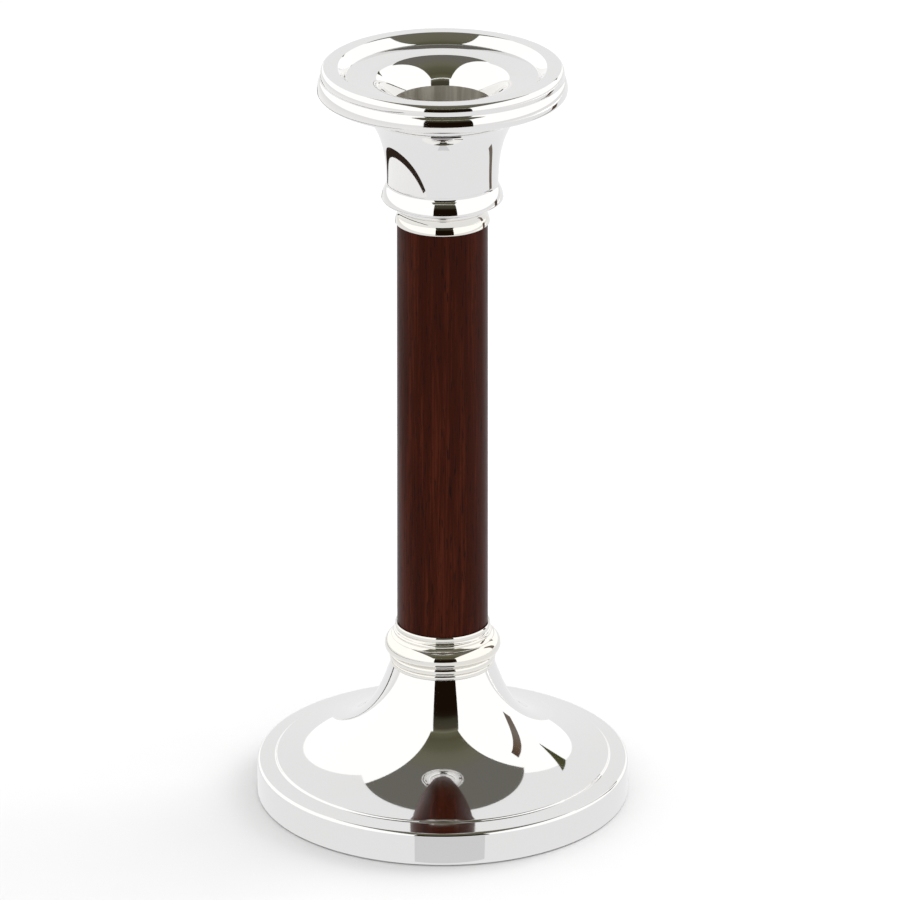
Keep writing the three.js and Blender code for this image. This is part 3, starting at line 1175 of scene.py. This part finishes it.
@dataclass(frozen=True)
class Card:
    """A card that only shows in reflections. Its colour changes along one axis, in metres."""

    name: str
    corners: tuple[Place, Place, Place, Place]
    stops: tuple[tuple[float, Colour], ...]
    along: int = 2

    def place(self) -> None:
        """Stands the card in the studio."""
        deselect_all()
        bpy.ops.mesh.primitive_plane_add(size=1)
        card = bpy.context.object
        card.name = self.name
        for vertex, corner in zip(card.data.vertices, self.corners):
            vertex.co = corner
        card.data.materials.append(self._glow())
        card.visible_camera = False
        card.visible_diffuse = False
        card.visible_shadow = False

    def _glow(self) -> bpy.types.Material:
        """The card's own glow, which lights nothing but mirrors.

        Returns:
            The material.
        """
        g = Graph(self.name)
        low, high = self.stops[0][0], self.stops[-1][0]
        run = (g.split(g.place())[self.along] - low) / (high - low)
        stops = tuple(((place - low) / (high - low), colour) for place, colour in self.stops)
        return g.finish(
            Base_Color=(0.0, 0.0, 0.0, 1.0),
            Roughness=1.0,
            Specular_IOR_Level=0.0,
            Emission_Color=g.ramp(run.held(), stops),
            Emission_Strength=1.0,
        )


# Glowing cards that light nothing and cast no shadow: painted reflections that only the mirror finishes
# show.
# Corners: front left, front right, back left, back right; on an upright card, the foot comes first.
# Painted reflection of a dark flag in front, near black low down and olive-grey higher up.
FRONT_FLAG_REFLECTION = Card(
    "front_flag_reflection",
    ((-0.415, -1.40, -0.03), (0.727, -1.40, -0.03), (-0.415, -1.40, 1.25), (0.727, -1.40, 1.25)),
    (
        (0.60, (0.0097, 0.0053, 0.0022)),
        (0.72, (0.014, 0.009, 0.005)),
        (0.84, (0.0445, 0.041, 0.027)),
        (1.10, (0.062, 0.056, 0.036)),
        (1.25, (0.165, 0.158, 0.108)),
    ),
)
# Painted reflection of a dark olive room overhead, changing from the front to the back.
CEILING_REFLECTION = Card(
    "ceiling_reflection",
    ((-0.66, -1.80, 1.60), (0.88, -1.80, 1.60), (-0.60, 1.20, 1.60), (0.92, 1.03, 1.60)),
    (
        (-1.80, (0.177, 0.170, 0.115)),
        (-1.70, (0.121, 0.118, 0.074)),
        (-1.34, (0.092, 0.087, 0.051)),
        (-0.85, (0.112, 0.107, 0.068)),
        (-0.60, (0.141, 0.135, 0.094)),
        (-0.38, (0.153, 0.147, 0.104)),
        (0.10, (0.153, 0.147, 0.129)),
    ),
    along=1,
)
# Painted reflection of a pale wall behind the candlestick.
BACK_WALL_REFLECTION = Card(
    "back_wall_reflection",
    ((-0.20, 1.04, 0.0), (0.24, 1.04, 0.0), (-0.76, 1.04, 1.60), (0.80, 1.04, 1.60)),
    ((0.0, (0.92, 0.92, 0.93)), (1.6, (0.92, 0.92, 0.93))),
)
# Painted reflection of a small dark olive patch on the wall behind, to the right.
DARK_DOOR_REFLECTION = Card(
    "dark_door_reflection",
    ((0.45, 0.97, 0.64), (0.72, 0.97, 0.61), (0.45, 0.97, 0.80), (0.71, 0.97, 0.63)),
    ((0.6, (0.055, 0.058, 0.022)), (0.8, (0.085, 0.085, 0.040))),
)
# Painted reflection of a brown post standing just right of and behind the candlestick.
DARK_POST_REFLECTION = Card(
    "dark_post_reflection",
    (
        (0.1305, 0.0445, 0.046),
        (0.1195, 0.0635, 0.046),
        (0.1305, 0.0445, 0.152),
        (0.1195, 0.0635, 0.152),
    ),
    (
        (0.046, (0.16, 0.13, 0.105)),
        (0.080, (0.19, 0.16, 0.135)),
        (0.120, (0.14, 0.095, 0.065)),
        (0.152, (0.085, 0.055, 0.038)),
    ),
)
# Painted reflection of the floor, lying just above it; the mirrors show it in place of the lit floor.
NEAR_FLOOR_REFLECTION = Card(
    "near_floor_reflection",
    ((-0.24, -1.20, 0.0004), (0.90, -1.20, 0.0004), (-0.17, 0.95, 0.0004), (0.70, 0.95, 0.0004)),
    ((-1.2, (0.90, 0.90, 0.915)), (0.95, (0.93, 0.93, 0.94))),
    along=1,
)
# Painted shade: a grey glowing patch just in front of the foot, seen only in the foot's mirror wall.
FLOOR_SHADE_REFLECTION = Card(
    "floor_shade_reflection",
    (
        (-0.0176, -0.0800, 0.0008),
        (0.0283, -0.0800, 0.0008),
        (-0.0068, -0.0454, 0.0008),
        (0.0106, -0.0454, 0.0008),
    ),
    ((-0.08, (0.72, 0.72, 0.74)), (-0.045, (0.72, 0.72, 0.74))),
    along=1,
)
# Painted reflection of a dark strip on the floor to the left, seen as a dark arc in the cup.
FLOOR_EDGE_REFLECTION = Card(
    "floor_edge_reflection",
    ((-0.245, -0.30, 0.0012), (-0.205, -0.30, 0.0012), (-0.215, 0.60, 0.0012), (-0.165, 0.60, 0.0012)),
    ((-0.3, (0.030, 0.020, 0.014)), (0.6, (0.030, 0.020, 0.014))),
    along=1,
)


@dataclass(frozen=True)
class Studio:
    """Camera, floor, soft light and the glowing cards that paint reflections into the mirror finish."""

    distance: float = 1.600
    eye_height: float = 0.7404
    aside: float = 0.0018
    tilt: float = 22.15
    lens: float = 287.64
    sensor: float = 36.0
    far_clip: float = 60.0
    floor_width: float = 30.0
    floor_dark: Colour = (0.72, 0.72, 0.72)
    floor_pale: Colour = (0.74, 0.74, 0.74)
    floor_mottles_per_metre: float = 40.0
    sky: float = 1.22
    softbox_size: Point = (0.7, 0.9)
    softbox_energy: float = 5.5
    softbox_place: Place = (0.75, 0.45, 0.60)
    softbox_aim: Place = (0.0, 0.0, 0.09)
    cards: tuple[Card, ...] = (
        FRONT_FLAG_REFLECTION,
        CEILING_REFLECTION,
        BACK_WALL_REFLECTION,
        DARK_DOOR_REFLECTION,
        DARK_POST_REFLECTION,
        NEAR_FLOOR_REFLECTION,
        FLOOR_SHADE_REFLECTION,
        FLOOR_EDGE_REFLECTION,
    )

    def build(self) -> None:
        """Sets the studio up."""
        self._camera()
        self._floor()
        self._sky()
        self._softbox()
        for card in self.cards:
            card.place()
        view = bpy.context.scene.view_settings
        view.view_transform = "Standard"
        view.look = "None"

    def _camera(self) -> None:
        """The long lens, looking down at the candlestick from the front."""
        data = bpy.data.cameras.new("camera")
        data.lens = self.lens
        data.sensor_width = self.sensor
        data.clip_end = self.far_clip
        camera = bpy.data.objects.new("camera", data)
        camera.location = (self.aside, -self.distance, self.eye_height)
        camera.rotation_euler = (math.radians(90 - self.tilt), 0, 0)
        bpy.context.scene.collection.objects.link(camera)
        bpy.context.scene.camera = camera

    def _floor(self) -> None:
        """A wide, plain, pale, matt floor."""
        deselect_all()
        bpy.ops.mesh.primitive_plane_add(size=self.floor_width, location=(0, 0, 0))
        floor = bpy.context.object
        floor.name = "floor"
        g = Graph("floor")
        mottle = g.noise(g.place(), self.floor_mottles_per_metre, detail=3.0, roughness=0.5)
        colour = g.mix(mottle, self.floor_dark, self.floor_pale)
        floor.data.materials.append(g.finish(Base_Color=colour, Roughness=0.9, Specular_IOR_Level=0.0))

    def _sky(self) -> None:
        """An even white surround."""
        world = bpy.data.worlds.new("surround")
        world.use_nodes = True
        background = world.node_tree.nodes["Background"]
        background.inputs["Color"].default_value = (1.0, 1.0, 1.0, 1.0)
        background.inputs["Strength"].default_value = self.sky
        bpy.context.scene.world = world

    def _softbox(self) -> None:
        """One broad soft light, behind on the right."""
        data = bpy.data.lights.new("softbox", "AREA")
        data.shape = "RECTANGLE"
        data.size, data.size_y = self.softbox_size
        data.energy = self.softbox_energy
        lamp = bpy.data.objects.new("softbox", data)
        lamp.location = self.softbox_place
        ray = Vector(self.softbox_aim) - Vector(self.softbox_place)
        lamp.rotation_euler = ray.to_track_quat("-Z", "Y").to_euler()
        lamp.visible_camera = False
        lamp.visible_glossy = False
        bpy.context.scene.collection.objects.link(lamp)


def main() -> None:
    logging.basicConfig(level=logging.INFO, format="%(name)s: %(message)s")
    Studio().build()
    for assembly in (Foot(), Collar(), Column(), CandleCup(), Nozzle(), Fasteners()):
        assembly.build()
        for piece in assembly.pieces:
            LOG.info("%s: %d faces", piece.name, len(piece.data.polygons))


if __name__ == "__main__":
    main()
